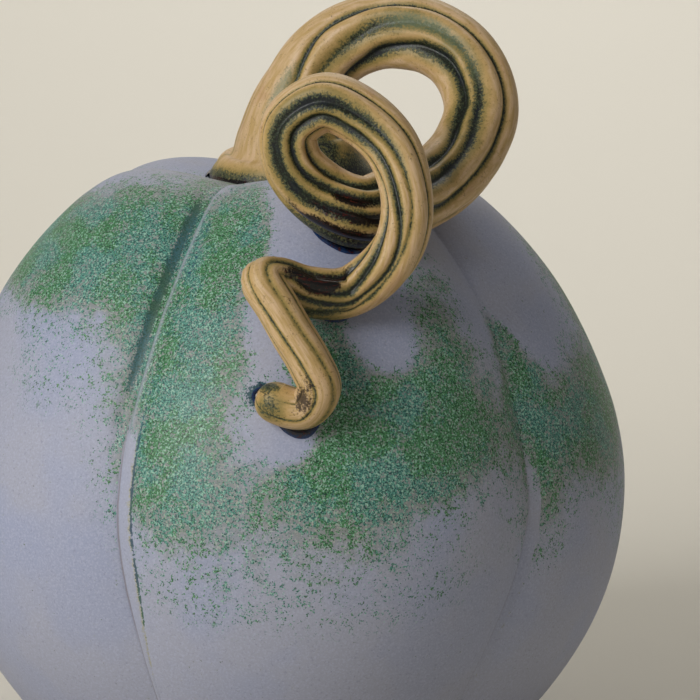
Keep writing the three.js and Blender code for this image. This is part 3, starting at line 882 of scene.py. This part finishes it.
class SQUASH_OT_pools(bpy.types.Operator):
    """Lay the thick glass that ran off the stem and set on the body round each place it touches."""
    bl_idname = "squash.pools"
    bl_label = "Glaze pools"

    def execute(self, context):
        grid = body_grid(np.linspace(0.12, 0.56, 340), 460)[0]
        rows, n = grid.shape[:2]
        points = grid.reshape(-1, 3)
        away = np.linalg.norm(points[:, None] - (POOLS[:, :3] + AXIS), axis=2)
        reach = (POOLS[:, 4] * np.exp(-(away / POOLS[:, 3]) ** 4)).max(1)
        near = reach > 0.2
        centre, radius, _, s, _ = stem_line(1.0)
        above = s > 5
        gap = np.full(len(points), 99.0)
        gap[near] = stem_distance(points[near], centre[above] + AXIS, radius[above])
        # The glass has a slowly wavering edge, and is raised along the body's normals.
        reach = reach * (1 + 0.16 * np.sin(points[:, 0] * 0.42 + points[:, 2] * 0.3))
        thick = np.where(near, np.clip((reach - gap) / (reach + 1.0), 0, 1), 0.0)
        out = np.cross(np.gradient(grid, axis=0), np.gradient(grid, axis=1)).reshape(-1, 3)
        out /= np.linalg.norm(out, axis=1)[:, None] + 1e-9
        out *= np.sign((out * (points - AXIS - [0, 0, 80])).sum(1))[:, None]
        raised = points + out * (1.0 * smooth(0, 0.5, thick) - 0.2)[:, None]
        # Its outermost rows lie below the body's skin, so no edge of the mesh shows.
        keep = near & (gap < reach + 1.3) & (gap > -3.0)
        index = np.full(len(points), -1)
        index[keep] = np.arange(keep.sum())
        faces = []
        for i in range(rows - 1):
            a = np.arange(n) + i * n
            b = np.roll(np.arange(n), -1) + i * n
            quads = np.stack([a, a + n, b + n, b], 1)
            faces += index[quads[keep[quads].all(1)]].tolist()
        pools = new_object("glaze_pools", raised[keep], faces, {"thick": thick[keep]},
                           pooled_glass())
        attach(pools, "root")
        return {"FINISHED"}


def set_up(context, name, data, place, aim):
    """A light or a camera in the scene, turned to what it is aimed at."""
    thing = bpy.data.objects.new(name, data)
    thing.location = place
    thing.rotation_euler = (Vector(aim) - Vector(place)).to_track_quat("-Z", "Y").to_euler()
    context.scene.collection.objects.link(thing)
    return thing


class SQUASH_OT_stage(bpy.types.Operator):
    """Set the board it stands on, the soft lights and the camera."""
    bl_idname = "squash.stage"
    bl_label = "Floor, lights and camera"

    def execute(self, context):
        # One sheet: flat under the object, then a wide curve up behind it.
        start, bend = BOARD_CURVE
        rows = BOARD_FLOOR + [(start + bend * math.sin(a), bend * (1 - math.cos(a)))
                              for a in np.linspace(0.1, math.pi / 2, 14)]
        rows += [(start + bend, BOARD_TOP)]
        points = [(x, y, z) for y, z in rows for x in (-BOARD_HALF_WIDTH, BOARD_HALF_WIDTH)]
        faces = [(2 * i, 2 * i + 1, 2 * i + 3, 2 * i + 2) for i in range(len(rows) - 1)]
        board = smooth_object("board", points, faces, painted_board())

        for name, place, aim, size, share in LIGHTS:
            lamp = bpy.data.lights.new(name, "AREA")
            lamp.shape, lamp.size = "DISK", size
            lamp.energy = share * context.scene.squash_sizes.key_power
            lamp.color = (1.0, 0.985, 0.96)
            set_up(context, name, lamp, place, aim)
        world = bpy.data.worlds.new("room")
        world.use_nodes = True
        background = world.node_tree.nodes["Background"]
        background.inputs["Color"].default_value = linear("#E9E6E0")
        background.inputs["Strength"].default_value = 0.22
        context.scene.world = world
        context.scene.view_settings.view_transform = "Standard"

        # The photo's angle, aimed up and to the right, so that the squash stands low and left in
        # the square picture.
        tilt = math.radians(VIEW_TILT)
        back = Vector((0, -math.cos(tilt), math.sin(tilt)))
        up = Vector((0, math.sin(tilt), math.cos(tilt)))
        middle = Vector((AXIS + [0, 0, WIDEST]) * MM)
        camera = bpy.data.cameras.new("camera")
        camera.sensor_width = 36.0
        camera.lens = camera.sensor_width * FOCAL / PICTURE
        camera.clip_start = 0.05
        aside = VIEW_DISTANCE / FOCAL * (AIM_RIGHT * Vector((1, 0, 0)) + AIM_UP * up)
        context.scene.camera = set_up(
            context, "camera", camera, middle + back * VIEW_DISTANCE, middle + aside)
        return {"FINISHED"}


class SQUASH_PT_panel(bpy.types.Panel):
    """Lists the pieces."""
    bl_idname = "SQUASH_PT_panel"
    bl_label = "Glazed squash"
    bl_space_type = "VIEW_3D"
    bl_region_type = "UI"
    bl_category = "Squash"

    def draw(self, context):
        for operator in OPERATORS:
            self.layout.operator(operator.bl_idname)
        for group in (context.scene.squash_sizes, context.scene.squash_look):
            for name in group.__annotations__:
                self.layout.prop(group, name)


OPERATORS = (SQUASH_OT_body, SQUASH_OT_stem, SQUASH_OT_pools, SQUASH_OT_stage)
CLASSES = (SquashLook, SquashSizes, *OPERATORS, SQUASH_PT_panel)


def register():
    for one in CLASSES:
        bpy.utils.register_class(one)
    bpy.types.Scene.squash_look = PointerProperty(type=SquashLook)
    bpy.types.Scene.squash_sizes = PointerProperty(type=SquashSizes)


def unregister():
    del bpy.types.Scene.squash_sizes
    del bpy.types.Scene.squash_look
    for one in reversed(CLASSES):
        bpy.utils.unregister_class(one)


def main():
    register()
    bpy.ops.squash.body()
    bpy.ops.squash.stem()
    bpy.ops.squash.pools()
    bpy.ops.squash.stage()


if __name__ == "__main__":
    main()
